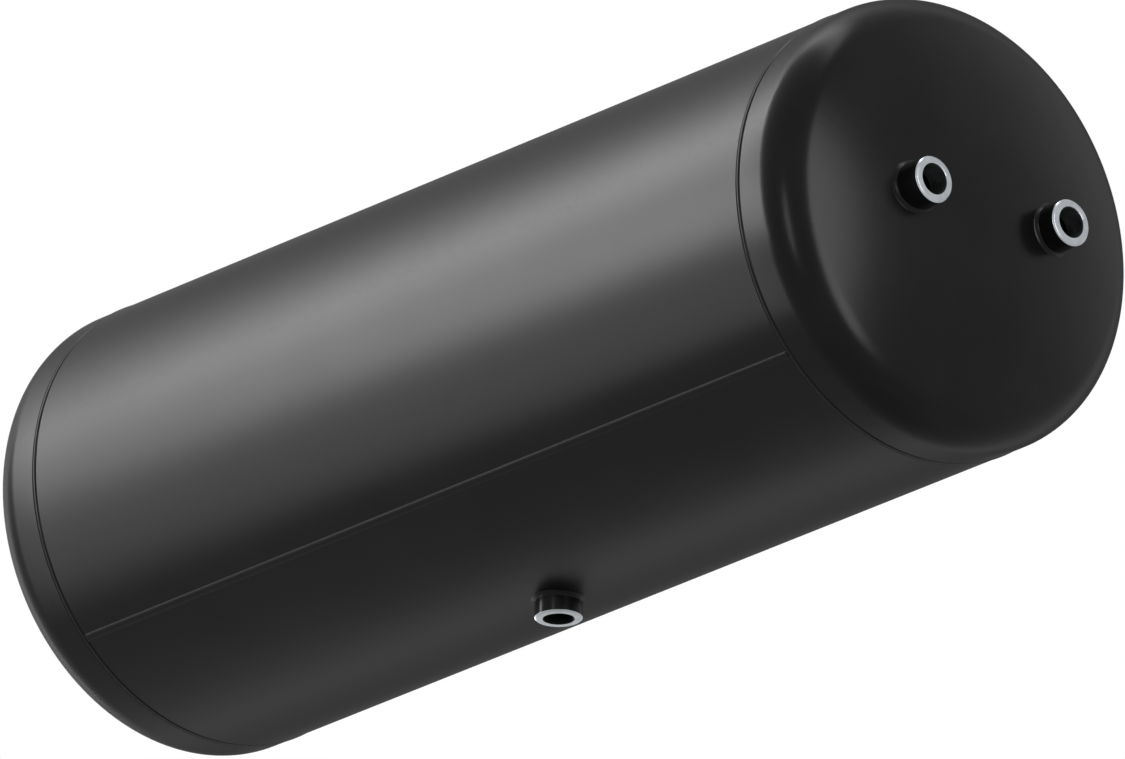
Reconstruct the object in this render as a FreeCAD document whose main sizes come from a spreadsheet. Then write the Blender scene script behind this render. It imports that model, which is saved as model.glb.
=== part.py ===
import FreeCAD, Part
import math
import os
import Sketcher
from FreeCAD import Placement, Rotation, Vector

# A welded steel air receiver. Its frame has +X along the tank's axis, towards the head with
# the two ports, and +Z up. The origin is on the axis, halfway between the girth welds.

# Driving dimensions in millimetres and degrees
SIZES = [
    ("shell_diameter", 310.0, "outside of the rolled shell and of the heads' skirts"),
    ("shell_wall", 3.0, "sheet of the shell"),
    ("seam_spacing", 710.0, "from the middle of one girth weld to the other"),
    ("head_wall", 3.0, "sheet of the heads"),
    ("skirt_length", 21.0, "straight part of a head, from the middle of its girth weld"),
    ("knuckle_radius", 31.0, "outside of the turn between skirt and crown"),
    ("crown_radius", 410.0, "outside of the dished middle of a head"),
    ("lip_length", 14.0, "straight part of the lip that slips into the shell"),
    ("lip_clearance", 0.25, "between the lip and the inside of the shell"),
    ("girth_groove", 3.0, "width of the groove that a girth weld fills"),
    ("girth_bead_height", 0.4, "crown of a girth weld above the shell"),
    ("bead_toe", 0.4, "how far a bead runs over the sheet beside its groove"),
    ("seam_groove", 4.8, "width of the seam weld's groove at the outside"),
    ("seam_root", 0.8, "width of the seam weld's groove at the inside"),
    ("seam_bead_height", 0.5, "crown of the seam weld above the shell"),
    ("seam_angle", 135.0, "place of the seam weld round the shell, from the top"),
    ("boss_diameter", 32.0, "outside of the three bosses"),
    ("boss_clearance", 0.1, "round a boss in the hole that it passes through"),
    ("boss_edge", 1.0, "chamfer round a boss's outer face"),
    ("boss_weld_leg", 2.4, "leg of the fillet weld round a boss"),
    ("boss_weld_land", 0.4, "blunt edge left on each toe of that weld"),
    ("thread_minor", 20.376, "bore of an M22 x 1.5 thread before it is cut"),
    ("thread_mouth", 0.5, "chamfer at the mouth of the thread"),
    ("relief_diameter", 24.0, "wider bore behind the thread"),
    ("port_offset", 60.0, "of each port from the tank's axis, left and right"),
    ("port_boss_length", 26.0, "overall length of a port boss"),
    ("port_boss_inside", 7.45, "of that length, below the crown on the boss's own axis"),
    ("port_thread_length", 15.4, "from a port's face to the end of its thread"),
    ("drain_boss_length", 18.0, "overall length of the drain boss"),
    ("drain_boss_inside", 4.7, "of that length, within the outside of the shell"),
    ("drain_thread_length", 12.4, "from the drain's face to the end of its thread"),
]

# Lengths that several pieces share, worked out from the sheet
SHELL_RADIUS = "(Sizes.shell_diameter / 2)"
SHELL_BORE = f"({SHELL_RADIUS} - Sizes.shell_wall)"
SHELL_LENGTH = "(Sizes.seam_spacing - Sizes.girth_groove)"
HALF_GROOVE = "(Sizes.girth_groove / 2)"
LIP_RADIUS = f"({SHELL_BORE} - Sizes.lip_clearance)"
KNUCKLE_HEIGHT = f"({SHELL_RADIUS} - Sizes.knuckle_radius)"
CROWN_CENTRE = (
    "(Sizes.skirt_length - sqrt((Sizes.crown_radius - Sizes.knuckle_radius)^2"
    f" - {KNUCKLE_HEIGHT}^2))"
)
CROWN_AT_PORT = f"({CROWN_CENTRE} + sqrt(Sizes.crown_radius^2 - Sizes.port_offset^2))"
BOSS_RADIUS = "(Sizes.boss_diameter / 2)"
WELD_RADIUS = f"({BOSS_RADIUS} + Sizes.boss_weld_leg)"

# What a sketch calls its axes, and the points on a line or an arc
HORIZONTAL_AXIS, VERTICAL_AXIS = -1, -2
START, END, CENTRE = 1, 2, 3
FULL_TURN = 360
QUARTER_TURN = 90
RIM_TOLERANCE = 1e-3

doc = FreeCAD.newDocument("AirReceiverTank")
sheet = doc.addObject("Spreadsheet::Sheet", "Sizes")
for row, (alias, number, note) in enumerate(SIZES, start=1):
    sheet.set(f"A{row}", note)
    sheet.set(f"B{row}", str(number))
    sheet.setAlias(f"B{row}", alias)
doc.recompute()


def value(expression):
    """Number that an expression on the sheet gives."""
    return float(sheet.evalExpression(expression))


def new_body(label):
    body = doc.addObject("PartDesign::Body", label)
    body.Label = label
    return body


def new_sketch(body, name, role):
    """Sketch on one of the body's own origin planes."""
    sketch = body.newObject("Sketcher::SketchObject", f"{body.Name}_{name}")
    plane = next(f for f in body.Origin.OriginFeatures if f.Role == role)
    sketch.AttachmentSupport = [(plane, "")]
    sketch.MapMode = "FlatFace"
    return sketch


def drive(sketch, name, expression, kind, *where):
    """Add a dimension that follows the sheet."""
    index = sketch.addConstraint(Sketcher.Constraint(kind, *where, value(expression)))
    sketch.renameConstraint(index, name)
    sketch.setExpression(f"Constraints.{name}", expression)


def relate(sketch, kind, *where):
    sketch.addConstraint(Sketcher.Constraint(kind, *where))


def add_line(sketch, first, last):
    return sketch.addGeometry(Part.LineSegment(Vector(*first), Vector(*last)))


def add_arc(sketch, centre, radius, first, last):
    """Arc from one angle to another, anticlockwise, in radians."""
    circle = Part.Circle(Vector(*centre), Vector(0, 0, 1), radius)
    return sketch.addGeometry(Part.ArcOfCircle(circle, first, last))


def add_polygon(sketch, corners):
    """Closed outline whose corners are each a name and two expressions."""
    points = [(value(across), value(up)) for _, across, up in corners]
    lines = [add_line(sketch, p, q) for p, q in zip(points, points[1:] + points[:1])]
    for line, after in zip(lines, lines[1:] + lines[:1]):
        relate(sketch, "Coincident", line, END, after, START)
    for line, (name, across, up) in zip(lines, corners):
        drive(sketch, f"{name}_across", across, "DistanceX", line, START)
        drive(sketch, f"{name}_up", up, "DistanceY", line, START)


def add_circle(sketch, name, radius, across):
    """Circle whose centre lies on the sketch's horizontal axis."""
    centre = Vector(value(across), 0)
    circle = sketch.addGeometry(Part.Circle(centre, Vector(0, 0, 1), value(radius)))
    drive(sketch, f"{name}_radius", radius, "Radius", circle)
    relate(sketch, "PointOnObject", circle, CENTRE, HORIZONTAL_AXIS)
    if value(across):
        drive(sketch, f"{name}_place", across, "DistanceX", circle, CENTRE)
    else:
        relate(sketch, "PointOnObject", circle, CENTRE, VERTICAL_AXIS)


def pad(body, sketch, length):
    """Pad to both sides of the sketch's plane."""
    feature = body.newObject("PartDesign::Pad", f"{sketch.Name}_pad")
    feature.Profile = sketch
    feature.SideType = "Symmetric"
    feature.setExpression("Length", length)
    doc.recompute()
    return feature


def revolve(body, sketch, axis, angle=FULL_TURN):
    feature = body.newObject("PartDesign::Revolution", f"{sketch.Name}_turn")
    feature.Profile = sketch
    feature.ReferenceAxis = (sketch, [axis])
    feature.Angle = angle
    feature.Midplane = angle < FULL_TURN
    doc.recompute()
    return feature


def pocket_through(body, sketch, forwards):
    """Cut right through on one side of the sketch's plane, and prove that it did."""
    before = body.Shape.Volume
    feature = body.newObject("PartDesign::Pocket", f"{sketch.Name}_cut")
    feature.Profile = sketch
    feature.Type = "ThroughAll"
    feature.Reversed = forwards
    doc.recompute()
    if body.Shape.Volume >= before:
        raise RuntimeError(f"{feature.Name} cut nothing")
    return feature


def place(body, rotation, **where):
    """Turn the body and tie its place to the sheet."""
    body.Placement = Placement(Vector(), rotation)
    for axis, expression in where.items():
        body.setExpression(f"Placement.Base.{axis}", expression)
    doc.recompute()


def seam_arc(sketch, name, radius, half_width, outside_seam=False):
    """Arc round the tank's axis, on one side of the seam or the rest of the circle."""
    reach = math.asin(value(half_width) / value(radius))
    first, last = math.pi / 2 - reach, math.pi / 2 + reach
    if outside_seam:
        first, last = last, first + 2 * math.pi
    arc = add_arc(sketch, (0, 0, 0), value(radius), first, last)
    relate(sketch, "Coincident", arc, CENTRE, HORIZONTAL_AXIS, START)
    drive(sketch, f"{name}_radius", radius, "Radius", arc)
    right, left = (END, START) if outside_seam else (START, END)
    drive(sketch, f"{name}_right", half_width, "DistanceX", arc, right)
    drive(sketch, f"{name}_left", f"-{half_width}", "DistanceX", arc, left)
    return arc, right, left


def add_bevels(sketch, outer, inner):
    """The seam's two bevelled faces, between its outer and inner arc."""
    shape = sketch.Geometry
    for side in (1, 2):
        ends = [(arc[0], arc[side]) for arc in (outer, inner)]
        points = [shape[i].StartPoint if end == START else shape[i].EndPoint for i, end in ends]
        line = add_line(sketch, points[0], points[1])
        relate(sketch, "Coincident", line, START, *ends[0])
        relate(sketch, "Coincident", line, END, *ends[1])


def turn_to_seam(sketch):
    """Bring the sketch's upright axis round to the seam."""
    sketch.setExpression("AttachmentOffset.Rotation.Angle", "Sizes.seam_angle")


def make_shell():
    """One sheet rolled round to a bevelled gap, pierced below for the drain boss."""
    body = new_body("shell")
    section = new_sketch(body, "section", "YZ_Plane")
    turn_to_seam(section)
    outer = seam_arc(section, "outer", SHELL_RADIUS, "(Sizes.seam_groove / 2)", True)
    inner = seam_arc(section, "inner", SHELL_BORE, "(Sizes.seam_root / 2)", True)
    add_bevels(section, outer, inner)
    pad(body, section, SHELL_LENGTH)
    hole = new_sketch(body, "drain_hole", "XY_Plane")
    add_circle(hole, "hole", f"{BOSS_RADIUS} + Sizes.boss_clearance", "0")
    pocket_through(body, hole, False)


def make_seam_weld():
    """Weld metal in the shell's seam, with a low crown that stops at the girth welds."""
    body = new_body("seam_weld")
    root = new_sketch(body, "root", "YZ_Plane")
    turn_to_seam(root)
    outer = seam_arc(root, "outer", SHELL_RADIUS, "(Sizes.seam_groove / 2)")
    inner = seam_arc(root, "inner", SHELL_BORE, "(Sizes.seam_root / 2)")
    add_bevels(root, outer, inner)
    pad(body, root, SHELL_LENGTH)
    crown = new_sketch(body, "crown", "YZ_Plane")
    turn_to_seam(crown)
    half = "(Sizes.seam_groove / 2 + Sizes.bead_toe)"
    under, right, left = seam_arc(crown, "under", SHELL_RADIUS, half)
    toe_height = f"sqrt({SHELL_RADIUS}^2 - {half}^2)"
    rise = f"({SHELL_RADIUS} + Sizes.seam_bead_height - {toe_height})"
    radius = f"(({half}^2 + {rise}^2) / (2 * {rise}))"
    middle = value(f"{SHELL_RADIUS} + Sizes.seam_bead_height - {radius}")
    reach = math.asin(value(half) / value(radius))
    over = add_arc(
        crown, (0, middle, 0), value(radius), math.pi / 2 - reach, math.pi / 2 + reach
    )
    relate(crown, "Coincident", over, START, under, right)
    relate(crown, "Coincident", over, END, under, left)
    drive(crown, "over_radius", radius, "Radius", over)
    pad(body, crown, f"{SHELL_LENGTH} - 2 * Sizes.bead_toe")


def draw_head(sketch):
    """Half section of a head, from the lip inside the shell to the middle of the crown."""
    radius, wall = value(SHELL_RADIUS), value("Sizes.head_wall")
    knuckle, crown = value("Sizes.knuckle_radius"), value("Sizes.crown_radius")
    skirt, lip = value("Sizes.skirt_length"), value(LIP_RADIUS)
    groove, lip_end = value(HALF_GROOVE), -value(f"{HALF_GROOVE} + Sizes.lip_length")
    knuckle_centre = (skirt, radius - knuckle, 0)
    crown_centre = (value(CROWN_CENTRE), 0, 0)
    turn = math.asin((radius - knuckle) / (crown - knuckle))
    inset = wall * math.tan(math.atan2(radius - lip, 2 * groove) / 2)

    outer_crown = add_arc(sketch, crown_centre, crown, 0, turn)
    outer_knuckle = add_arc(sketch, knuckle_centre, knuckle, turn, math.pi / 2)
    inner_knuckle = add_arc(sketch, knuckle_centre, knuckle - wall, turn, math.pi / 2)
    inner_crown = add_arc(sketch, crown_centre, crown - wall, 0, turn)
    points = [
        (skirt, radius, 0),
        (groove, radius, 0),
        (-groove, lip, 0),
        (lip_end, lip, 0),
        (lip_end, lip - wall, 0),
        (inset - groove, lip - wall, 0),
        (inset + groove, radius - wall, 0),
        (skirt, radius - wall, 0),
    ]
    lines = [add_line(sketch, p, q) for p, q in zip(points, points[1:])]
    outer_skirt, joggle, outer_lip, edge, inner_lip, inner_joggle, inner_skirt = lines
    top = crown_centre[0] + crown
    middle = add_line(sketch, (top - wall, 0, 0), (top, 0, 0))

    for line, after in zip(lines, lines[1:]):
        relate(sketch, "Coincident", line, END, after, START)
    relate(sketch, "Coincident", middle, START, inner_crown, START)
    relate(sketch, "Coincident", middle, END, outer_crown, START)
    relate(sketch, "Tangent", outer_crown, END, outer_knuckle, START)
    relate(sketch, "Tangent", outer_knuckle, END, outer_skirt, START)
    relate(sketch, "Tangent", inner_skirt, END, inner_knuckle, END)
    relate(sketch, "Tangent", inner_knuckle, START, inner_crown, END)
    relate(sketch, "Coincident", outer_knuckle, CENTRE, inner_knuckle, CENTRE)
    relate(sketch, "Coincident", outer_crown, CENTRE, inner_crown, CENTRE)
    for point in ((outer_crown, CENTRE), (outer_crown, START), (inner_crown, START)):
        relate(sketch, "PointOnObject", *point, HORIZONTAL_AXIS)
    for line in (outer_skirt, outer_lip, inner_lip, inner_skirt):
        relate(sketch, "Horizontal", line)
    relate(sketch, "Vertical", edge)
    relate(sketch, "Parallel", joggle, inner_joggle)
    drive(sketch, "crown_radius", "Sizes.crown_radius", "Radius", outer_crown)
    drive(sketch, "knuckle_radius", "Sizes.knuckle_radius", "Radius", outer_knuckle)
    drive(sketch, "skirt_end", "Sizes.skirt_length", "DistanceX", outer_skirt, START)
    drive(sketch, "groove_top_across", HALF_GROOVE, "DistanceX", joggle, START)
    drive(sketch, "groove_top_up", SHELL_RADIUS, "DistanceY", joggle, START)
    drive(sketch, "groove_root_across", f"-{HALF_GROOVE}", "DistanceX", joggle, END)
    drive(sketch, "groove_root_up", LIP_RADIUS, "DistanceY", joggle, END)
    drive(sketch, "lip_length", "Sizes.lip_length", "Distance", outer_lip)
    drive(sketch, "lip_wall", "Sizes.head_wall", "Distance", edge)
    drive(sketch, "joggle_wall", "Sizes.head_wall", "Distance", joggle, START, inner_joggle)
    skirt_bore = f"{SHELL_RADIUS} - Sizes.head_wall"
    drive(sketch, "skirt_bore", skirt_bore, "DistanceY", inner_skirt, START)


def place_on_end(body, ported):
    """Put what is drawn from a girth weld outwards at one end of the tank."""
    turned = 0 if ported else 180
    side = "Sizes.seam_spacing / 2" if ported else "-Sizes.seam_spacing / 2"
    place(body, Rotation(Vector(0, 0, 1), turned), x=side)


def make_head(label, ported):
    """Dished head, whose own frame starts at its girth weld and points outwards."""
    body = new_body(label)
    section = new_sketch(body, "section", "XZ_Plane")
    draw_head(section)
    revolve(body, section, "H_Axis")
    if ported:
        holes = new_sketch(body, "boss_holes", "YZ_Plane")
        for side, sign in (("left", "-"), ("right", "")):
            place_across = f"{sign}Sizes.port_offset"
            add_circle(holes, side, f"{BOSS_RADIUS} + Sizes.boss_clearance", place_across)
        pocket_through(body, holes, True)
    place_on_end(body, ported)


def make_girth_weld(label, ported):
    """Ring of weld metal between the shell's end and the head's joggle."""
    body = new_body(label)
    section = new_sketch(body, "section", "XZ_Plane")
    toe = f"({HALF_GROOVE} + Sizes.bead_toe)"
    corners = [
        ("shell_toe", f"-{toe}", SHELL_RADIUS),
        ("shell_edge", f"-{HALF_GROOVE}", SHELL_RADIUS),
        ("root", f"-{HALF_GROOVE}", LIP_RADIUS),
        ("head_edge", HALF_GROOVE, SHELL_RADIUS),
        ("head_toe", toe, SHELL_RADIUS),
    ]
    points = [(value(across), value(up)) for _, across, up in corners]
    lines = [add_line(section, p, q) for p, q in zip(points, points[1:])]
    for line, after in zip(lines, lines[1:]):
        relate(section, "Coincident", line, END, after, START)
    ends = [(line, START) for line in lines] + [(lines[-1], END)]
    for (name, across, up), end in zip(corners, ends):
        drive(section, f"{name}_across", across, "DistanceX", *end)
        drive(section, f"{name}_up", up, "DistanceY", *end)
    crown = "Sizes.girth_bead_height"
    radius = f"(({toe}^2 + {crown}^2) / (2 * {crown}))"
    middle = value(f"{SHELL_RADIUS} + {crown} - {radius}")
    reach = math.asin(value(toe) / value(radius))
    first, last = math.pi / 2 - reach, math.pi / 2 + reach
    bead = add_arc(section, (0, middle, 0), value(radius), first, last)
    relate(section, "Coincident", bead, START, lines[-1], END)
    relate(section, "Coincident", bead, END, lines[0], START)
    drive(section, "bead_radius", radius, "Radius", bead)
    revolve(body, section, "H_Axis")
    place_on_end(body, ported)


def make_boss(label, length, thread_length):
    """Turned boss with its face at the top of its own frame and its shank below."""
    body = new_body(label)
    section = new_sketch(body, "section", "XZ_Plane")
    bore, relief = "Sizes.thread_minor / 2", "Sizes.relief_diameter / 2"
    add_polygon(section, [
        ("mouth", f"{bore} + Sizes.thread_mouth", "0"),
        ("face_edge", f"{BOSS_RADIUS} - Sizes.boss_edge", "0"),
        ("side_top", BOSS_RADIUS, "-Sizes.boss_edge"),
        ("side_end", BOSS_RADIUS, f"-{length}"),
        ("relief_end", relief, f"-{length}"),
        ("relief_top", relief, f"-{thread_length}"),
        ("thread_end", bore, f"-{thread_length}"),
        ("thread_top", bore, "-Sizes.thread_mouth"),
    ])
    revolve(body, section, "V_Axis")
    return body


def make_port_boss(label, sign):
    body = make_boss(label, "Sizes.port_boss_length", "Sizes.port_thread_length")
    proud = "(Sizes.port_boss_length - Sizes.port_boss_inside)"
    face = f"Sizes.seam_spacing / 2 + {CROWN_AT_PORT} + {proud}"
    outwards = Rotation(Vector(0, 1, 0), QUARTER_TURN)
    place(body, outwards, x=face, y=f"{sign}Sizes.port_offset")


def make_drain_boss():
    body = make_boss("drain_boss", "Sizes.drain_boss_length", "Sizes.drain_thread_length")
    proud = "(Sizes.drain_boss_length - Sizes.drain_boss_inside)"
    face = f"-({SHELL_RADIUS} + {proud})"
    place(body, Rotation(Vector(1, 0, 0), 2 * QUARTER_TURN), z=face)


def trim_to_ring(body, plane, across, forwards):
    """Cut a layer of weld metal down to a ring round a boss."""
    trim = new_sketch(body, "trim", plane)
    add_circle(trim, "boss", BOSS_RADIUS, across)
    add_circle(trim, "toe", WELD_RADIUS, across)
    add_circle(trim, "beyond", "Sizes.shell_diameter", across)
    pocket_through(body, trim, forwards)


def bevel_weld(body, on_rim):
    """Turn the ring's square section into a fillet, with a chamfer along its outer rim."""
    rims = [
        f"Edge{i}"
        for i, edge in enumerate(body.Shape.Edges, start=1)
        if all(on_rim(point) for point in edge.discretize(8))
    ]
    if not rims:
        raise RuntimeError(f"{body.Label} has no rim to bevel")
    ring = body.Tip
    feature = body.newObject("PartDesign::Chamfer", f"{body.Name}_bevel")
    feature.Base = (ring, rims)
    feature.setExpression("Size", "Sizes.boss_weld_leg - Sizes.boss_weld_land")
    doc.recompute()


def make_port_boss_weld(label, sign):
    """Fillet that follows the curved line where a port boss leaves the crown."""
    body = new_body(label)
    layer = new_sketch(body, "layer", "XZ_Plane")
    crown, offset = value("Sizes.crown_radius"), value("Sizes.port_offset")
    top = "(Sizes.crown_radius + Sizes.boss_weld_leg)"
    reach = value(f"{WELD_RADIUS} + Sizes.boss_weld_leg")
    first, last = math.asin((offset - reach) / crown), math.asin((offset + reach) / crown)
    centre = (value(CROWN_CENTRE), 0, 0)
    low = add_arc(layer, centre, crown, first, last)
    high = add_arc(layer, centre, value(top), first, last)
    shape = layer.Geometry
    inner = add_line(layer, shape[low].StartPoint, shape[high].StartPoint)
    outer = add_line(layer, shape[low].EndPoint, shape[high].EndPoint)
    for line, end in ((inner, START), (outer, END)):
        relate(layer, "Coincident", line, START, low, end)
        relate(layer, "Coincident", line, END, high, end)
    relate(layer, "Coincident", low, CENTRE, high, CENTRE)
    relate(layer, "PointOnObject", low, CENTRE, HORIZONTAL_AXIS)
    drive(layer, "centre", CROWN_CENTRE, "DistanceX", low, CENTRE)
    drive(layer, "under", "Sizes.crown_radius", "Radius", low)
    drive(layer, "over", top, "Radius", high)
    span = f"({WELD_RADIUS} + Sizes.boss_weld_leg)"
    drive(layer, "inside_low", f"Sizes.port_offset - {span}", "DistanceY", low, START)
    drive(layer, "inside_high", f"Sizes.port_offset - {span}", "DistanceY", high, START)
    drive(layer, "outside_low", f"Sizes.port_offset + {span}", "DistanceY", low, END)
    drive(layer, "outside_high", f"Sizes.port_offset + {span}", "DistanceY", high, END)
    revolve(body, layer, "H_Axis")
    across = f"{sign}Sizes.port_offset"
    trim_to_ring(body, "YZ_Plane", across, True)

    middle = Vector(value(CROWN_CENTRE), 0, 0)
    axis_y, radius = value(across), value(WELD_RADIUS)

    def on_rim(point):
        from_boss = math.hypot(point.y - axis_y, point.z)
        from_middle = (point - middle).Length
        off_top = abs(from_middle - value(top))
        return abs(from_boss - radius) < RIM_TOLERANCE and off_top < RIM_TOLERANCE

    bevel_weld(body, on_rim)
    place_on_end(body, True)


def make_drain_boss_weld():
    """Fillet that follows the saddle line where the drain boss leaves the shell."""
    body = new_body("drain_boss_weld")
    layer = new_sketch(body, "layer", "XZ_Plane")
    top = f"({SHELL_RADIUS} + Sizes.boss_weld_leg)"
    span = f"({WELD_RADIUS} + Sizes.boss_weld_leg)"
    add_polygon(layer, [
        ("low_left", f"-{span}", f"-{top}"),
        ("low_right", span, f"-{top}"),
        ("high_right", span, f"-{SHELL_RADIUS}"),
        ("high_left", f"-{span}", f"-{SHELL_RADIUS}"),
    ])
    revolve(body, layer, "H_Axis", QUARTER_TURN)
    trim_to_ring(body, "XY_Plane", "0", False)
    radius, height = value(WELD_RADIUS), value(top)

    def on_rim(point):
        from_boss = math.hypot(point.x, point.y)
        from_axis = math.hypot(point.y, point.z)
        off_top = abs(from_axis - height)
        return abs(from_boss - radius) < RIM_TOLERANCE and off_top < RIM_TOLERANCE

    bevel_weld(body, on_rim)


make_shell()
make_seam_weld()
make_head("port_head", True)
make_head("plain_head", False)
make_girth_weld("port_head_weld", True)
make_girth_weld("plain_head_weld", False)
for side, sign in (("left", "-"), ("right", "")):
    make_port_boss(f"port_boss_{side}", sign)
    make_port_boss_weld(f"port_boss_{side}_weld", sign)
make_drain_boss()
make_drain_boss_weld()
doc.recompute()

for item in doc.Objects:
    if "Invalid" in item.State or "Error" in item.State:
        raise RuntimeError(f"{item.Name} failed: {item.State}")

os.makedirs("parts", exist_ok=True)
for body in doc.findObjects("PartDesign::Body"):
    shape = body.Shape
    if shape.isNull() or not shape.isValid() or len(shape.Solids) != 1:
        raise RuntimeError(f"{body.Label} is not one valid solid")
    shape.exportStep(f"parts/{body.Label}.step")
    box = shape.BoundBox
    corners = [round(n, 2) for n in (box.XMin, box.YMin, box.ZMin, box.XMax, box.YMax, box.ZMax)]
    print(f"{body.Label:24} {shape.Volume / 1000:9.3f} cm3  {corners}")
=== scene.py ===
import math

import bmesh
import bpy
from mathutils import Matrix, Quaternion, Vector, noise


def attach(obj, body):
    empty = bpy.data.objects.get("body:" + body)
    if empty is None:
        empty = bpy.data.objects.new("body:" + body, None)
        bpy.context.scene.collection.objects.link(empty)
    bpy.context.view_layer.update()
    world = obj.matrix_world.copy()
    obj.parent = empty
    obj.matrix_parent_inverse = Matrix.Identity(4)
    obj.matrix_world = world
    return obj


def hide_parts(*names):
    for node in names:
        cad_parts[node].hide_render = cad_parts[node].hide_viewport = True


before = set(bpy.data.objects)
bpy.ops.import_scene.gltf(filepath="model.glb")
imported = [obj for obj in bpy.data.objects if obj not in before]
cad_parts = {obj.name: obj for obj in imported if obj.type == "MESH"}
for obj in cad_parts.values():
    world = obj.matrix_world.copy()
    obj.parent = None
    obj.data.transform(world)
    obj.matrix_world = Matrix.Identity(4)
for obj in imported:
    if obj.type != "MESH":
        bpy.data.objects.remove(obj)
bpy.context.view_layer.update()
print("frame loaded")

# Shapes are modelled in millimetres, with the tank's axis along X, and scaled when finished
mm = 0.001
mergeGap = 1e-4              # points closer than this become one
pickSlack = 0.1              # allowed where points and faces are picked out by their place
tank = {
    "radius": 155.0,
    "wall": 3.0,
    "seamSpacing": 710.0,
    "weldGroove": 3.0,
    "undercut": 0.3,         # depth and width of the melted edge beside a girth bead
    "turnSteps": 288,
}


# sRGB hex code to the linear colour that a shader takes
def linearColour(code):
    parts = [int(code[i:i + 2], 16) / 255 for i in (1, 3, 5)]
    return [p / 12.92 if p <= 0.04045 else ((p + 0.055) / 1.055) ** 2.4 for p in parts] + [1.0]


# One node with its settings, and links from other nodes' sockets to its inputs
def addNode(tree, kind, settings=None, links=None):
    made = tree.nodes.new(kind)
    for name, value in (settings or {}).items():
        if isinstance(name, int) or name in made.inputs:
            made.inputs[name].default_value = value
        else:
            setattr(made, name, value)
    for name, socket in (links or {}).items():
        tree.links.new(socket, made.inputs[name])
    return made


def newMaterial(name):
    material = bpy.data.materials.new(name)
    material.use_nodes = True
    tree = material.node_tree
    tree.nodes.clear()
    output = addNode(tree, "ShaderNodeOutputMaterial")
    return material, tree, output


# Places and colours of a ramp's two ends
def setStops(colour, places, codes):
    for stop, place, code in zip(colour.color_ramp.elements, places, codes):
        stop.position, stop.color = place, linearColour(code)


noiseSpan = (0.3, 0.7)       # most of a noise texture's values lie in here
coat = {
    "colours": ("#080808", "#0d0d0d"),
    "colourSpan": (0.35, 0.65),
    "cloud": (70.0, 3.0),    # size in mm and detail, slow change of the film's thickness
    "peel": (2.4, 1.0),      # orange peel of a baked film
    "grain": (0.5, 2.0),
    "grainShare": 0.75,      # of the grain in the roughness, and the rest is cloud
    "onSheet": (0.012, (0.22, 0.27)),    # height of the peel in mm, and roughness
    "onWeld": (0.02, (0.20, 0.28)),
    "edgeRoughness": 0.5,    # added where the film is seen edge on, which its texture dulls
    "edgeSpan": (0.42, 0.85),            # of Layer Weight's Facing, from where to where it grows
    "ior": 1.20,             # a paint film's is 1.5, and this matted one mirrors less
}


# Electrocoated and baked epoxy paint on steel: a thin, even, satin black film, whose faint
# orange peel breaks up the edges of highlights
def makeCoat(name, peelHeight, roughness):
    material, tree, output = newMaterial(name)
    place = addNode(tree, "ShaderNodeTexCoord").outputs["Object"]
    cloud, peel, grain = [
        addNode(tree, "ShaderNodeTexNoise", {"Scale": 1 / (size * mm), "Detail": detail},
                {"Vector": place}).outputs["Fac"]
        for size, detail in (coat["cloud"], coat["peel"], coat["grain"])]
    colour = addNode(tree, "ShaderNodeValToRGB", links={"Fac": cloud})
    setStops(colour, coat["colourSpan"], coat["colours"])
    uneven = addNode(tree, "ShaderNodeMix", {"data_type": "FLOAT", 0: coat["grainShare"]},
                     {2: cloud, 3: grain})
    gloss = addNode(tree, "ShaderNodeMapRange", {
        "From Min": noiseSpan[0], "From Max": noiseSpan[1],
        "To Min": roughness[0], "To Max": roughness[1]}, {"Value": uneven.outputs[0]})
    facing = addNode(tree, "ShaderNodeLayerWeight")
    edgeOn = addNode(tree, "ShaderNodeMapRange", {
        "interpolation_type": "SMOOTHSTEP", "From Min": coat["edgeSpan"][0],
        "From Max": coat["edgeSpan"][1], "To Max": coat["edgeRoughness"]},
        {"Value": facing.outputs["Facing"]})
    dulled = addNode(tree, "ShaderNodeMath", {"operation": "ADD"}, {
        0: gloss.outputs["Result"], 1: edgeOn.outputs["Result"]})
    bump = addNode(tree, "ShaderNodeBump", {"Distance": peelHeight * mm}, {"Height": peel})
    shader = addNode(tree, "ShaderNodeBsdfPrincipled", {"IOR": coat["ior"]}, {
        "Base Color": colour.outputs["Color"],
        "Roughness": dulled.outputs[0],
        "Normal": bump.outputs["Normal"],
    })
    tree.links.new(shader.outputs["BSDF"], output.inputs["Surface"])
    return material


steel = {
    "face": (("#989ca0", "#a6aaae"), (0.24, 0.30)),      # colours and roughness
    # nearly black colours in the bore: painted shade of the deep threaded hole
    "thread": (("#1a1b1c", "#28292a"), (0.45, 0.6)),
    "colourSpan": (0.3, 0.7),
    "cloud": (6.0, 3.0),     # size in mm and detail, patches of the turned face
    "speck": (0.4, 2.0),     # torn grain of the cut
    "feed": 0.35,            # mm between turning marks, drawn coarser than a real 0.15 to show
    "markHeight": 0.004,
}
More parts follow.
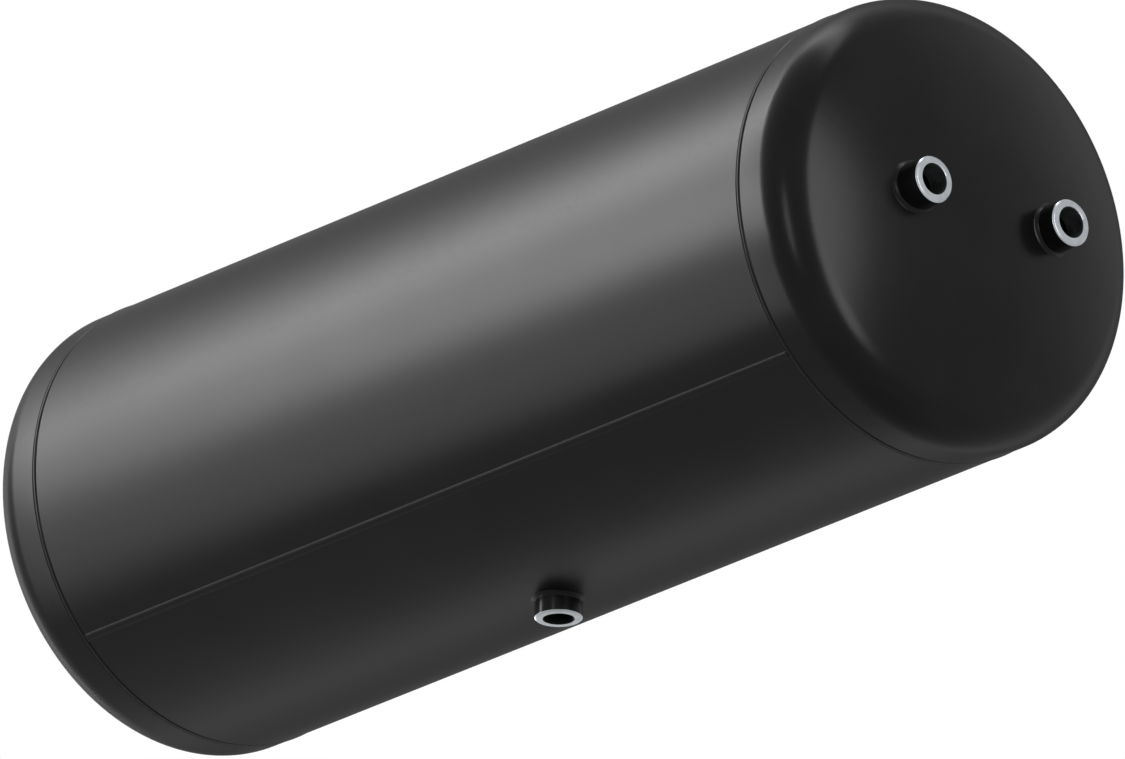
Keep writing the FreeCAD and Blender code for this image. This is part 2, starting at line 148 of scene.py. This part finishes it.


# Steel turned on a lathe and left bare: fine rings round the axis, a soft metal sheen. In the
# threads its colour is made nearly black, painted shade of the deep bore
def makeTurnedSteel(name, colours, roughness):
    material, tree, output = newMaterial(name)
    turning = addNode(tree, "ShaderNodeUVMap", {"uv_map": "turning"})
    parts = addNode(tree, "ShaderNodeSeparateXYZ", links={"Vector": turning.outputs["UV"]})
    place = addNode(tree, "ShaderNodeTexCoord").outputs["Object"]
    ring = addNode(tree, "ShaderNodeMath", {"operation": "MULTIPLY", 1: math.tau / steel["feed"]},
                   {0: parts.outputs["X"]})
    marks = addNode(tree, "ShaderNodeMath", {"operation": "SINE"}, {0: ring.outputs[0]})
    cloud, speck = [
        addNode(tree, "ShaderNodeTexNoise", {"Scale": 1 / (size * mm), "Detail": detail},
                {"Vector": place}).outputs["Fac"]
        for size, detail in (steel["cloud"], steel["speck"])]
    colour = addNode(tree, "ShaderNodeValToRGB", links={"Fac": cloud})
    setStops(colour, steel["colourSpan"], colours)
    gloss = addNode(tree, "ShaderNodeMapRange", {
        "From Min": noiseSpan[0], "From Max": noiseSpan[1],
        "To Min": roughness[0], "To Max": roughness[1]}, {"Value": speck})
    bump = addNode(tree, "ShaderNodeBump", {"Distance": steel["markHeight"] * mm},
                   {"Height": marks.outputs[0]})
    shader = addNode(tree, "ShaderNodeBsdfPrincipled", {"Metallic": 1.0}, {
        "Base Color": colour.outputs["Color"],
        "Roughness": gloss.outputs["Result"],
        "Normal": bump.outputs["Normal"],
    })
    tree.links.new(shader.outputs["BSDF"], output.inputs["Surface"])
    return material


blackCoat = makeCoat("black_electrocoat_on_sheet", *coat["onSheet"])
weldCoat = makeCoat("black_electrocoat_on_weld", *coat["onWeld"])
turnedSteel = makeTurnedSteel("turned_bare_steel", *steel["face"])
# bore and thread steel darkened to nearly black: painted shade inside the ports
shadedThreadSteel = makeTurnedSteel("thread_steel_painted_shade", *steel["thread"])
print("materials made")


# Turn a mesh in millimetres into a piece that stands for its CAD node. Edges that bend by more
# degrees than sharpest keep their crease
def finishPiece(name, mesh, node, materials, sharpest=32):
    bmesh.ops.scale(mesh, vec=(mm, mm, mm), verts=mesh.verts)
    bmesh.ops.recalc_face_normals(mesh, faces=mesh.faces)
    for face in mesh.faces:
        face.smooth = True
    for edge in mesh.edges:
        if edge.is_manifold and edge.calc_face_angle() > math.radians(sharpest):
            edge.smooth = False
    data = bpy.data.meshes.new(name)
    mesh.to_mesh(data)
    mesh.free()
    for material in materials:
        data.materials.append(material)
    piece = bpy.data.objects.new(name, data)
    bpy.context.scene.collection.objects.link(piece)
    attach(piece, "root")
    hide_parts(node)
    print(name, "made,", len(data.polygons), "faces")


# Cut one closed mesh out of another
def cutAway(body, tool):
    items = []
    for name, mesh in (("body", body), ("tool", tool)):
        data = bpy.data.meshes.new(name)
        mesh.to_mesh(data)
        mesh.free()
        items.append(bpy.data.objects.new(name, data))
        bpy.context.scene.collection.objects.link(items[-1])
    cut = items[0].modifiers.new("cut", "BOOLEAN")
    cut.operation = "DIFFERENCE"
    cut.solver = "EXACT"
    cut.object = items[1]
    result = bmesh.new()
    result.from_object(items[0], bpy.context.evaluated_depsgraph_get())
    for item in items:
        data = item.data
        bpy.data.objects.remove(item)
        bpy.data.meshes.remove(data)
    return result


# Closed outline in the XZ plane from corners of x and radius
def drawOutline(mesh, corners):
    verts = [mesh.verts.new((x, 0, radius)) for x, radius in corners]
    for first, last in zip(verts, verts[1:] + verts[:1]):
        mesh.edges.new((first, last))
    return verts


# Turn the mesh's outline right round the X axis
def turnRound(mesh, steps):
    bmesh.ops.spin(mesh, geom=mesh.verts[:] + mesh.edges[:], cent=(0, 0, 0), axis=(1, 0, 0),
                   angle=math.tau, steps=steps, use_merge=True)
    bmesh.ops.remove_doubles(mesh, verts=mesh.verts, dist=mergeGap)


boss = {
    "radius": 16.0,
    "clearance": 0.1,
    "holeDepth": 60.0,       # of the bar that cuts a boss's hole in the sheet
    "holeSteps": 160,
    "edge": 1.0,             # chamfer round the outer face
    "edgeRound": 0.12,
    "major": 11.0,           # M22 x 1.5
    "minor": 10.188,
    "pitch": 1.5,
    "tapOverlap": 0.12,      # how far the tap's coil reaches inside the bore, for a clean cut
    "mouth": 0.5,
    "relief": 12.0,
    "portOffset": 60.0,
    "portFace": 442.0,
    "portLength": 26.0,
    "portThread": 15.4,
    "drainFace": 168.3,
    "drainLength": 18.0,
    "drainThread": 12.4,
    "turnSteps": 144,
    "threadSteps": 60,
}


# Round bar to cut a boss's hole with, along X or along Z
def makeHoleBar(middle, along):
    mesh = bmesh.new()
    radius = boss["radius"] + boss["clearance"]
    bmesh.ops.create_cone(mesh, cap_ends=True, segments=boss["holeSteps"], radius1=radius,
                          radius2=radius, depth=boss["holeDepth"])
    if along == "X":
        bmesh.ops.rotate(mesh, verts=mesh.verts, matrix=Matrix.Rotation(math.pi / 2, 3, "Y"))
    bmesh.ops.translate(mesh, verts=mesh.verts, vec=middle)
    return mesh


shell = {
    "half": tank["seamSpacing"] / 2 - tank["weldGroove"] / 2,
    "drainBand": 40.0,       # to each side of the middle, a row of faces that the hole is cut in
    "seamGap": 4.8,
    "seamRoot": 0.8,
    "seamAngle": 135.0,      # degrees round from the top, towards the left port
}


def makeShell():
    mesh = bmesh.new()
    outer, inner, cut = tank["radius"], tank["radius"] - tank["wall"], tank["undercut"]
    half, band = shell["half"], shell["drainBand"]
    edge = [(half - 2 * cut, outer), (half - cut, outer - cut), (half, outer - cut)]
    middle = [(-band, outer), (band, outer)]
    section = drawOutline(mesh, [(-x, r) for x, r in edge[::-1]] + middle + edge
                          + [(x, inner) for x in (half, band, -band, -half)])
    cap = mesh.faces.new(section)
    gap, root = shell["seamGap"] / outer, shell["seamRoot"] / inner
    start = math.radians(shell["seamAngle"]) + gap / 2
    bmesh.ops.rotate(mesh, verts=mesh.verts, cent=(0, 0, 0),
                     matrix=Matrix.Rotation(start, 3, "X"))
    ends = [cap.verts[:]]
    spun = bmesh.ops.spin(mesh, geom=[cap] + cap.edges[:] + cap.verts[:], cent=(0, 0, 0),
                          axis=(1, 0, 0), angle=math.tau - gap, steps=tank["turnSteps"])
    ends.append([v for v in spun["geom_last"] if isinstance(v, bmesh.types.BMVert)])
    for sign, verts in zip((-1, 1), ends):       # bevel both long edges down to the root
        low = [v for v in verts if math.hypot(v.co.y, v.co.z) < inner + pickSlack]
        bmesh.ops.rotate(mesh, verts=low, cent=(0, 0, 0),
                         matrix=Matrix.Rotation(sign * (gap - root) / 2, 3, "X"))
    return cutAway(mesh, makeHoleBar((0, 0, -outer), "Z"))


finishPiece("rolled_shell", makeShell(), "shell", [blackCoat])

head = {
    "skirt": 21.0,
    "knuckle": 31.0,
    "crown": 410.0,
    "lip": 14.0,
    "lipClearance": 0.25,
    "crownSteps": 26,
    "knuckleSteps": 22,
}

# Crown and knuckle meet smoothly at this angle off the axis, which places the crown's centre
headTurn = math.asin((tank["radius"] - head["knuckle"]) / (head["crown"] - head["knuckle"]))
crownCentre = (head["skirt"] - (head["crown"] - head["knuckle"]) * math.cos(headTurn)
               + tank["seamSpacing"] / 2)


# Arc of x and radius round a centre, from one angle above the axis to another
def arcPoints(centre, radius, first, last, steps):
    turns = [first + (last - first) * i / steps for i in range(steps + 1)]
    return [(centre[0] + radius * math.cos(a), centre[1] + radius * math.sin(a)) for a in turns]


# Pressed head, from the crown's middle over knuckle and skirt to the lip that slips into the
# shell, and back along the inside
def makeHead(ported):
    wall, radius, cut = tank["wall"], tank["radius"], tank["undercut"]
    seam, groove = tank["seamSpacing"] / 2, tank["weldGroove"] / 2
    lip = radius - wall - head["lipClearance"]
    lipEnd = seam - groove - head["lip"]
    inset = wall * math.tan(math.atan2(radius - lip, 2 * groove) / 2)    # at the joggle's bends
    knuckleCentre = (seam + head["skirt"], radius - head["knuckle"])
    sheet = [(head["crown"], head["knuckle"]), (head["crown"] - wall, head["knuckle"] - wall)]
    outside, inside = [
        arcPoints((crownCentre, 0), crown, 0, headTurn, head["crownSteps"])
        + arcPoints(knuckleCentre, knuckle, headTurn, math.pi / 2, head["knuckleSteps"])[1:]
        for crown, knuckle in sheet
    ]
    outside += [(seam + groove + 2 * cut, radius), (seam + groove + cut, radius - cut),
                (seam + groove, radius - cut), (seam - groove, lip), (lipEnd, lip)]
    inside += [(seam + groove + inset, radius - wall), (seam - groove + inset, lip - wall),
               (lipEnd, lip - wall)]
    mesh = bmesh.new()
    drawOutline(mesh, outside + inside[::-1])
    turnRound(mesh, tank["turnSteps"])
    axis = [edge for edge in mesh.edges if not edge.link_faces]
    bmesh.ops.delete(mesh, geom=axis, context="EDGES")
    if not ported:
        bmesh.ops.rotate(mesh, verts=mesh.verts, matrix=Matrix.Rotation(math.pi, 3, "Z"))
        return mesh
    for side in (-1, 1):
        middle = (crownCentre + head["crown"], side * boss["portOffset"], 0)
        mesh = cutAway(mesh, makeHoleBar(middle, "X"))
    return mesh


finishPiece("port_end_head", makeHead(True), "port_head", [blackCoat])
finishPiece("plain_end_head", makeHead(False), "plain_head", [blackCoat])


# Boss along X with its face at x = 0 and its shank behind, threaded from the face inwards.
# Its materials are 0 for the bare face, 1 for the coated side and 2 for the thread
def makeBoss(length, thread):
    mesh = bmesh.new()
    edge, mouth = boss["edge"], boss["mouth"]
    drawOutline(mesh, [
        (0, boss["minor"] + mouth), (0, boss["radius"] - edge), (-edge, boss["radius"]),
        (-length, boss["radius"]), (-length, boss["relief"]), (-thread, boss["relief"]),
        (-thread, boss["minor"]), (-mouth, boss["minor"]),
    ])
    turnRound(mesh, boss["turnSteps"])
    for face in mesh.faces:
        middle = face.calc_center_median()
        radius = math.hypot(middle.y, middle.z)
        inBore = radius < boss["relief"] + pickSlack and middle.x < -pickSlack
        face.material_index = 1 if radius > boss["radius"] - pickSlack else 2 if inBore else 0
    rims = [e for e in mesh.edges if all(
        v.co.x > -edge - pickSlack
        and math.hypot(v.co.y, v.co.z) > boss["radius"] - edge - pickSlack
        for v in e.verts) and abs(e.verts[0].co.x - e.verts[1].co.x) < mergeGap]
    bmesh.ops.bevel(mesh, geom=rims, offset=boss["edgeRound"], segments=2, profile=0.5,
                    affect="EDGES", material=-1)
    bmesh.ops.recalc_face_normals(mesh, faces=mesh.faces)
    mesh = cutAway(mesh, makeTap(thread))
    turning = mesh.loops.layers.uv.new("turning")
    for face in mesh.faces:
        for corner in face.loops:
            place = corner.vert.co
            corner[turning].uv = (math.hypot(place.y, place.z) + place.x, place.x)
    return mesh


# The coil of metal that a tap takes out of the bore, run out past both ends. Its flanks lean
# by 30 degrees, and its tip is an eighth of the pitch wide
def makeTap(thread):
    mesh = bmesh.new()
    steps, pitch = boss["threadSteps"], boss["pitch"]
    turns = math.ceil(thread / pitch) + 2
    flat, slope = pitch / 16, math.tan(math.radians(30))
    low = boss["minor"] - boss["tapOverlap"]
    base = flat + (boss["major"] - low) * slope
    section = [mesh.verts.new((x + pitch, 0, radius)) for x, radius in (
        (-base, low), (-flat, boss["major"]), (flat, boss["major"]), (base, low))]
    cap = mesh.faces.new(section)
    bmesh.ops.spin(mesh, geom=[cap] + cap.edges[:] + cap.verts[:], cent=(0, 0, 0),
                   axis=(1, 0, 0), dvec=(-pitch / steps, 0, 0), angle=math.tau * turns,
                   steps=steps * turns)
    bmesh.ops.recalc_face_normals(mesh, faces=mesh.faces)
    for face in mesh.faces:
        face.material_index = 2
    return mesh


def finishBoss(name, node, length, thread, turn, where):
    mesh = makeBoss(length, thread)
    bmesh.ops.rotate(mesh, verts=mesh.verts, cent=(0, 0, 0), matrix=turn)
    bmesh.ops.translate(mesh, verts=mesh.verts, vec=where)
    finishPiece(name, mesh, node, [turnedSteel, blackCoat, shadedThreadSteel])


alongX, downwards = Matrix.Identity(3), Matrix.Rotation(math.pi / 2, 3, "Y")
for side, sign in (("left", -1), ("right", 1)):
    finishBoss(f"{side}_port_boss_turned", f"port_boss_{side}", boss["portLength"],
               boss["portThread"], alongX, (boss["portFace"], sign * boss["portOffset"], 0))
finishBoss("drain_boss_turned", "drain_boss", boss["drainLength"], boss["drainThread"],
           downwards, (0, 0, -boss["drainFace"]))

bead = {
    "ripple": 2.0,           # mm from one ripple to the next
    "rippleSteps": 5,
    "rippleHeight": 0.08,
    "rippleLag": 0.45,       # share of a ripple by which its toes trail its middle
    "rippleWander": 0.35,    # how far the spacing drifts, as a share of a ripple
    "rippleRound": 0.7,      # less makes broad crests with narrow valleys
    "toe": 0.4,              # how far a bead runs over the sheet beside its groove
    "sunk": 0.08,            # depth of a bead's corners under the sheet's face
    "girthHeight": 0.4,
    "girthRoot": 0.05,
    "seamHeight": 0.5,
    "seamRunOut": 1.2,       # mm over which the seam's crown rises from its ends
    "seamEnd": 0.15,         # share of the crown that is left at the ends
    "crownPower": 2.5,       # 2 is a round crown, and more is flatter with steeper toes
    "sway": 0.12,            # slow wander of a bead's edges
    "filletLeg": 2.4,
    "filletHollow": 0.25,    # how far a fillet's face sags between its toes
    "filletSteps": 8,
    "slant": 0.7,            # share of a push into a fillet's face that goes along each leg
    "topPoints": 15,
    "sharpest": 60,
}


# Height of the solidified ripples, 0 in the valleys and 1 on the crests
def rippleAt(distance, across):
    phase = distance / bead["ripple"] - bead["rippleLag"] * across * across
    phase += bead["rippleWander"] * noise.noise(Vector((distance * 0.13, across * 0.5, 3.7)))
    return abs(math.sin(math.pi * phase)) ** bead["rippleRound"]


# Grid wrapped into a closed strip: one row of points for each step along the weld
def sweepBead(steps, section, placeAt, ring):
    mesh = bmesh.new()
    bmesh.ops.create_grid(mesh, x_segments=steps, y_segments=len(section), size=0.5)
    for vert in mesh.verts:
        along = round((vert.co.x + 0.5) * steps) / steps
        if ring:             # the last row lies on the first
            along %= 1.0
        index = round((vert.co.y + 0.5) * len(section)) % len(section)
        vert.co = placeAt(along, *section[index])
    bmesh.ops.remove_doubles(mesh, verts=mesh.verts, dist=mergeGap)
    if not ring:
        ends = [edge for edge in mesh.edges if edge.is_boundary]
        bmesh.ops.holes_fill(mesh, edges=ends, sides=0)
    return mesh


# Section of a butt weld. Each point is its place across, its height over the sheet, its share
# of the ripple, and its place between the toes at -1 and 1
def buttSection(half, rootHalf, height, cut=0.0):
    count = bead["topPoints"]
    reach = half + (cut or bead["toe"])
    top = []
    for i in range(count):
        across = math.sin(math.pi * (i / (count - 1) - 0.5))
        rise = 1 - abs(across) ** bead["crownPower"]
        top.append((across * reach, (height + cut) * rise - cut, 1 - across ** 4, across))
    corner, depth = -cut - bead["sunk"], -tank["wall"]
    return top + [(half, corner, 0, 1), (rootHalf, depth, 0, 1), (-rootHalf, depth, 0, -1),
                  (-half, corner, 0, -1)]


def finishWeld(name, mesh, node):
    finishPiece(name, mesh, node, [weldCoat], bead["sharpest"])


def makeGirthBead(end):
    around = math.tau * tank["radius"]
    ripples = round(around / bead["ripple"])
    section = buttSection(tank["weldGroove"] / 2, bead["girthRoot"], bead["girthHeight"],
                          tank["undercut"])

    def placeAt(along, across, height, share, side):
        angle = along * math.tau
        distance = along * ripples * bead["ripple"]
        rise = height + share * bead["rippleHeight"] * (rippleAt(distance, side) - 1)
        sway = bead["sway"] * noise.noise(Vector((math.cos(angle) * 9, math.sin(angle) * 9, end)))
        radius = tank["radius"] + rise
        x = end * tank["seamSpacing"] / 2 + across + share * sway
        return Vector((x, radius * math.sin(angle), radius * math.cos(angle)))

    return sweepBead(ripples * bead["rippleSteps"], section, placeAt, True)


finishWeld("port_end_girth_bead", makeGirthBead(1), "port_head_weld")
finishWeld("plain_end_girth_bead", makeGirthBead(-1), "plain_head_weld")


def makeSeamBead():
    length = 2 * shell["half"]
    ripples = round(length / bead["ripple"])
    section = buttSection(shell["seamGap"] / 2, shell["seamRoot"] / 2, bead["seamHeight"])
    middle = math.radians(shell["seamAngle"])

    def placeAt(along, across, height, share, side):
        distance = along * length
        rise = height + share * bead["rippleHeight"] * (rippleAt(distance, side) - 1)
        if height > 0:       # the crown runs out under the girth beads
            toEnd = min(distance, length - distance)
            rise *= min(1.0, bead["seamEnd"] + toEnd / bead["seamRunOut"])
        sway = bead["sway"] * noise.noise(Vector((distance * 0.03, 0.4, 8.2)))
        angle = middle + (across + share * sway) / tank["radius"]
        radius = tank["radius"] + rise
        return Vector((distance - length / 2, -radius * math.sin(angle),
                       radius * math.cos(angle)))

    return sweepBead(ripples * bead["rippleSteps"], section, placeAt, False)


finishWeld("seam_bead", makeSeamBead(), "seam_weld")


# Section of a fillet round a boss, with points as in a butt weld but for radius in place of
# the first number
def filletSection():
    leg, count = bead["filletLeg"], bead["topPoints"]
    face = []
    for i in range(count):
        across = -1 + 2 * i / (count - 1)
        along = (1 + across) / 2
        hollow = bead["filletHollow"] * (1 - across * across)
        radius = boss["radius"] + leg * (1 - along) - hollow * bead["slant"]
        face.append((radius, leg * along - hollow * bead["slant"], 1 - across ** 4, across))
    return face + [(boss["radius"], 0.0, 0, 1)]


def makeFillet(offset, turn, surfaceAt):
    around = math.tau * (boss["radius"] + bead["filletLeg"])
    ripples = round(around / bead["ripple"])

    def placeAt(along, radius, height, share, side):
        angle = along * math.tau
        distance = along * ripples * bead["ripple"]
        sink = share * bead["rippleHeight"] * (rippleAt(distance, side) - 1)
        radius, height = radius + sink * bead["slant"], height + sink * bead["slant"]
        y, z = offset + radius * math.cos(angle), radius * math.sin(angle)
        return Vector((surfaceAt(y, z) + height, y, z))

    mesh = sweepBead(ripples * bead["filletSteps"], filletSection(), placeAt, True)
    bmesh.ops.rotate(mesh, verts=mesh.verts, cent=(0, 0, 0), matrix=turn)
    return mesh


def crownAt(y, z):
    return crownCentre + math.sqrt(head["crown"] ** 2 - y * y - z * z)


def shellAt(y, z):
    return math.sqrt(tank["radius"] ** 2 - y * y)


for side, sign in (("left", -1), ("right", 1)):
    finishWeld(f"{side}_port_fillet", makeFillet(sign * boss["portOffset"], alongX, crownAt),
               f"port_boss_{side}_weld")
finishWeld("drain_fillet", makeFillet(0, downwards, shellAt), "drain_boss_weld")
print("pieces made")

# Floor, light and camera, in metres
studio = {
    "toViewer": (0.7038, -0.6152, -0.3552),
    "lens": 1100.0,          # mm, so long that the picture is nearly parallel
    "sensor": 36.0,
    "frameWidth": 0.7463,    # across the picture, at the tank's axis
    "aim": (0.0026, 0.0012),             # right and up from the tank's middle
    "floorDrop": 0.60,
    "floorRadius": 0.80,
    "floorSteps": 128,
    "floorColour": "#c8c8c6",
    "floorWhite": 0.5,       # share of plain white that the eye sees in the paper's middle
    "floorFade": (0.45, 0.95),           # of its radius, from where to where it turns all white
    "skyLevel": 0.3,
    "lamps": {               # direction from the tank, width and height, lean, watts
        "highSoftbox": ((-0.704, -0.544, 0.457), (1.2, 13.8), 30.0, 670.0),
        "lowSoftbox": ((-0.704, -0.70, -0.09), (1.15, 9.6), -5.5, 195.0),
        "endSoftbox": ((0.985, -0.04, 0.03), (3.6, 9.9), -8.0, 775.0),
        "nearSoftbox": ((0.40, -0.91, -0.05), (1.5, 4.5), 0.0, 126.0),
        "topSoftbox": ((0.0, -0.05, 1.0), (11.4, 2.1), 0.0, 315.0),
        "backSoftbox": ((-0.93, 0.30, 0.20), (5.4, 7.5), 0.0, 450.0),
    },
    "lampDistance": 9.0,
}


# 1 for rays from the camera, and for those that a surface mirrors or lets through
def addSeenRays(tree):
    path = addNode(tree, "ShaderNodeLightPath")
    direct = addNode(tree, "ShaderNodeMath", {"operation": "MAXIMUM"}, {
        0: path.outputs["Is Camera Ray"], 1: path.outputs["Is Glossy Ray"]})
    return addNode(tree, "ShaderNodeMath", {"operation": "MAXIMUM"}, {
        0: direct.outputs[0], 1: path.outputs["Is Transmission Ray"]}).outputs[0]


# Uncoated white studio paper: matt, so it takes the tank's soft shadow, and it fades to plain
# white towards its edge. It is clear from below, so that the tank shows from there too
def makePaper():
    material, tree, output = newMaterial("matt_white_paper")
    place = addNode(tree, "ShaderNodeTexCoord").outputs["Object"]
    flatPlace = addNode(tree, "ShaderNodeVectorMath",
                        {"operation": "MULTIPLY", 1: (1, 1, 0)}, {0: place})
    fromMiddle = addNode(tree, "ShaderNodeVectorMath", {"operation": "LENGTH"},
                         {0: flatPlace.outputs["Vector"]})
    start, end = [share * studio["floorRadius"] for share in studio["floorFade"]]
    fade = addNode(tree, "ShaderNodeMapRange", {
        "interpolation_type": "SMOOTHSTEP", "From Min": start, "From Max": end,
        "To Min": studio["floorWhite"]}, {"Value": fromMiddle.outputs["Value"]})
    seen = addNode(tree, "ShaderNodeMath", {"operation": "MULTIPLY"},
                   {0: fade.outputs["Result"], 1: addSeenRays(tree)})
    paper = addNode(tree, "ShaderNodeBsdfDiffuse", {"Color": linearColour(studio["floorColour"])})
    white = addNode(tree, "ShaderNodeEmission", {"Color": (1, 1, 1, 1), "Strength": 1.0})
    above = addNode(tree, "ShaderNodeMixShader", links={
        0: seen.outputs[0], 1: paper.outputs["BSDF"], 2: white.outputs["Emission"]})
    face = addNode(tree, "ShaderNodeNewGeometry")
    clear = addNode(tree, "ShaderNodeBsdfTransparent")
    oneSided = addNode(tree, "ShaderNodeMixShader", links={
        0: face.outputs["Backfacing"], 1: above.outputs["Shader"], 2: clear.outputs["BSDF"]})
    tree.links.new(oneSided.outputs["Shader"], output.inputs["Surface"])
    return material


def makeFloor():
    mesh = bmesh.new()
    bmesh.ops.create_circle(mesh, cap_ends=True, segments=studio["floorSteps"],
                            radius=studio["floorRadius"])
    bmesh.ops.translate(mesh, verts=mesh.verts, vec=(0, 0, -studio["floorDrop"]))
    data = bpy.data.meshes.new("studio_floor")
    mesh.to_mesh(data)
    mesh.free()
    data.materials.append(makePaper())
    floor = bpy.data.objects.new("studio_floor", data)
    bpy.context.scene.collection.objects.link(floor)


# Plain white to the eye and in reflections, and dimmer as a light
def makeWorld():
    world = bpy.data.worlds.new("white_studio")
    world.use_nodes = True
    tree = world.node_tree
    tree.nodes.clear()
    level = addNode(tree, "ShaderNodeMapRange",
                    {"To Min": studio["skyLevel"], "To Max": 1.0}, {"Value": addSeenRays(tree)})
    sky = addNode(tree, "ShaderNodeBackground", {"Color": (1, 1, 1, 1)},
                  {"Strength": level.outputs["Result"]})
    addNode(tree, "ShaderNodeOutputWorld", links={"Surface": sky.outputs["Background"]})
    bpy.context.scene.world = world


def makeLamps():
    for name, (direction, size, lean, watts) in studio["lamps"].items():
        lamp = bpy.data.lights.new(name, "AREA")
        lamp.shape = "ELLIPSE"
        lamp.size, lamp.size_y = size
        lamp.energy = watts
        holder = bpy.data.objects.new(name, lamp)
        holder.visible_camera = False
        away = Vector(direction).normalized()
        turn = away.to_track_quat("Z", "Y") @ Quaternion((0, 0, 1), math.radians(lean))
        holder.location = away * studio["lampDistance"]
        holder.rotation_euler = turn.to_euler()
        bpy.context.scene.collection.objects.link(holder)


def makeCamera():
    back = Vector(studio["toViewer"]).normalized()
    camera = bpy.data.cameras.new("camera")
    camera.lens = studio["lens"]
    camera.sensor_width = studio["sensor"]
    distance = studio["frameWidth"] * studio["lens"] / studio["sensor"]
    camera.clip_start, camera.clip_end = 1.0, 2 * distance
    holder = bpy.data.objects.new("camera", camera)
    turn = back.to_track_quat("Z", "Y")
    holder.location = back * distance + turn @ Vector((*studio["aim"], 0))
    holder.rotation_euler = turn.to_euler()
    bpy.context.scene.collection.objects.link(holder)
    bpy.context.scene.camera = holder


makeFloor()
makeWorld()
makeLamps()
makeCamera()
bpy.context.scene.view_settings.view_transform = "Standard"
print("studio made")
